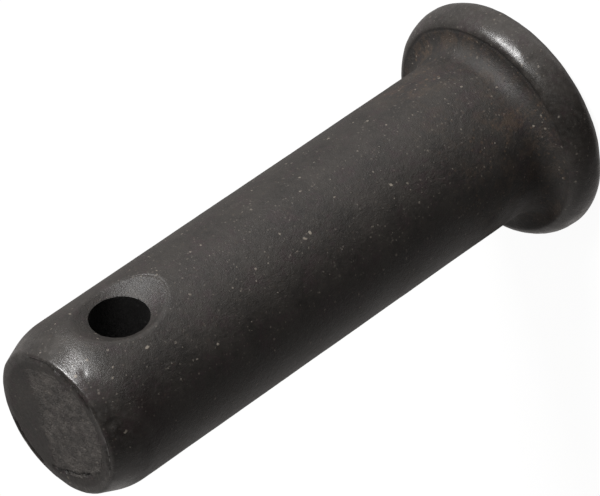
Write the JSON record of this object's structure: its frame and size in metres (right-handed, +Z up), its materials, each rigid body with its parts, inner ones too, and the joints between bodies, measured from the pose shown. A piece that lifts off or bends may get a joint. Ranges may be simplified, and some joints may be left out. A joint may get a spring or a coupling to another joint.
{
  "type": "clevis pin",
  "caption": "Headed steel clevis pin with a rounded rim, a rounded end and a countersunk cross hole for a split pin, dark phosphate finish.",
  "frame": {"origin": "centre of the flat outer face of the head, on which the pin stands", "axes": "+Z up the shank from the head to the end face, X along the cross hole"},
  "size_m": [0.0114, 0.0114, 0.0278],
  "materials": {
    "phosphated_steel": "dark brown-black phosphate, semi-matt, worn and dusty"
  },
  "bodies": {
    "root": {"clevis_pin": "phosphated_steel"}
  },
  "joints": []
}
